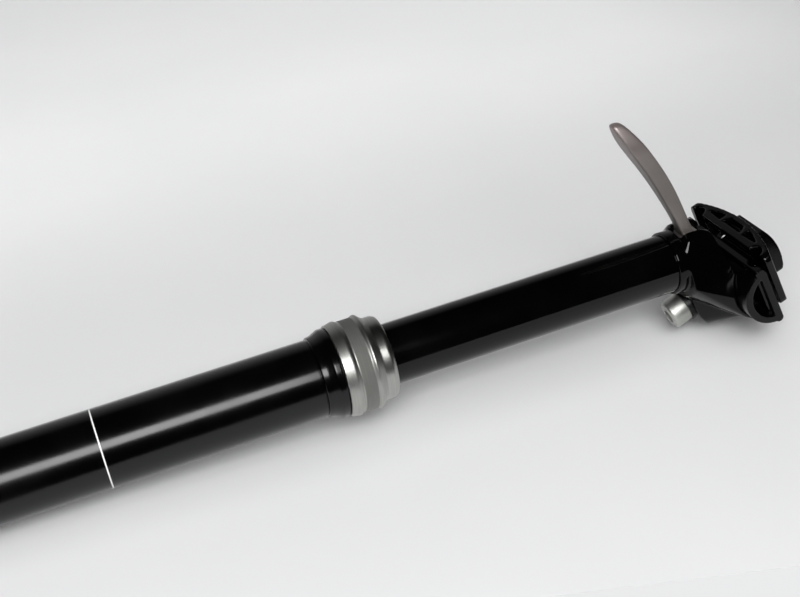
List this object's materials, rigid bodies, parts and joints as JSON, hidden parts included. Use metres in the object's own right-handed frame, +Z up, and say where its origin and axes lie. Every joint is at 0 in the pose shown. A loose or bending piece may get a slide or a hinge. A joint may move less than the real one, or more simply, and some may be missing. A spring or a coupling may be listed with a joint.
{
  "type": "dropper seatpost",
  "caption": "Telescoping bicycle seatpost with a silver collar, a release lever under the saddle and a tilting saddle-rail clamp held by one bolt.",
  "frame": {"origin": "centre of the lower tube's bottom end, on the post's axis", "axes": "+Z up the post, -Y to the front where the lever points, +X to the left of a rider who faces forward"},
  "size_m": [0.0588, 0.1037, 0.393],
  "materials": {
    "black_anodised": "gloss black anodised aluminium",
    "silver_anodised": "satin silver anodised aluminium",
    "smoke_anodised": "satin smoky grey anodised aluminium",
    "plain_alloy": "turned aluminium",
    "zinc_steel": "zinc plated steel",
    "chromed_steel": "hard chromed ground steel",
    "spring_steel": "spring wire",
    "key_brass": "drawn brass",
    "bearing_plastic": "filled acetal",
    "seal_rubber": "nitrile rubber"
  },
  "bodies": {
    "lower_post": {"lower_tube": "black_anodised", "base_plug": "black_anodised", "base_o_ring": "seal_rubber", "rod_nut": "zinc_steel", "rod_washer": "zinc_steel", "damper_rod": "chromed_steel", "main_piston": "plain_alloy", "piston_seal": "seal_rubber", "piston_nut": "zinc_steel", "bottom_bumper": "seal_rubber", "upper_bushing": "bearing_plastic", "collar": "silver_anodised", "collar_o_ring": "seal_rubber", "wiper_seal": "seal_rubber"},
    "upper_post": {"stanchion": "black_anodised", "guide_keys": "key_brass", "lower_bushing": "bearing_plastic", "seal_head": "plain_alloy", "seal_head_o_ring": "seal_rubber", "rod_seal": "seal_rubber", "top_out_bumper": "seal_rubber", "inner_tube": "plain_alloy", "valve_body": "plain_alloy", "valve_o_ring": "seal_rubber", "valve_spring": "spring_steel", "head": "black_anodised", "lever_pin": "zinc_steel"},
    "floating_piston": {"floating_piston": "plain_alloy", "floating_piston_seals": "seal_rubber"},
    "lever": {"lever": "smoke_anodised"},
    "push_pin": {"push_pin": "zinc_steel", "valve_poppet": "zinc_steel"},
    "saddle_cradle": {"lower_cradle": "black_anodised", "bolt_washer": "zinc_steel"},
    "clamp_bolt": {"clamp_bolt": "zinc_steel"},
    "upper_clamp": {"upper_clamp": "black_anodised", "barrel_nut": "zinc_steel"}
  },
  "joints": [
    {"name": "post_slide", "type": "slide", "parent": "lower_post", "child": "upper_post", "axis": [0, 0, -1], "range_m": [0, 0.125], "stiffness_N_per_m": 200, "springref_m": -0.1},
    {"name": "floating_piston_slide", "type": "slide", "parent": "upper_post", "child": "floating_piston", "axis": [0, 0, -1], "range_m": [0, 0.1076]},
    {"name": "lever_pivot", "type": "hinge", "parent": "upper_post", "child": "lever", "pos_m": [0, -0.01, 0.355], "axis": [-1, 0, 0], "range_deg": [0, 12.5]},
    {"name": "push_pin_slide", "type": "slide", "parent": "upper_post", "child": "push_pin", "axis": [0, 0, -1], "range_m": [0, 0.00209], "stiffness_N_per_m": 300, "springref_m": -0.002, "deforming": ["valve_spring"]},
    {"name": "saddle_tilt", "type": "hinge", "parent": "upper_post", "child": "saddle_cradle", "pos_m": [0, 0.0126, 0.379], "axis": [1, 0, 0], "range_deg": [-4, 10]},
    {"name": "clamp_bolt_turn", "type": "hinge", "parent": "saddle_cradle", "child": "clamp_bolt", "pos_m": [0, 0.0126, 0.379], "axis": [0, 0.3665, -0.9304], "range_deg": [0, 745]},
    {"name": "upper_clamp_lift", "type": "slide", "parent": "saddle_cradle", "child": "upper_clamp", "axis": [0, -0.3665, 0.9304], "range_m": [0, 0.0025]}
  ],
  "couplings": [
    {"joint": "floating_piston_slide", "follows": "post_slide", "ratio": 0.85965},
    {"joint": "lever_pivot", "follows": "push_pin_slide", "rad_per_m": 100},
    {"joint": "clamp_bolt_turn", "follows": "upper_clamp_lift", "rad_per_m": 5026.5}
  ]
}
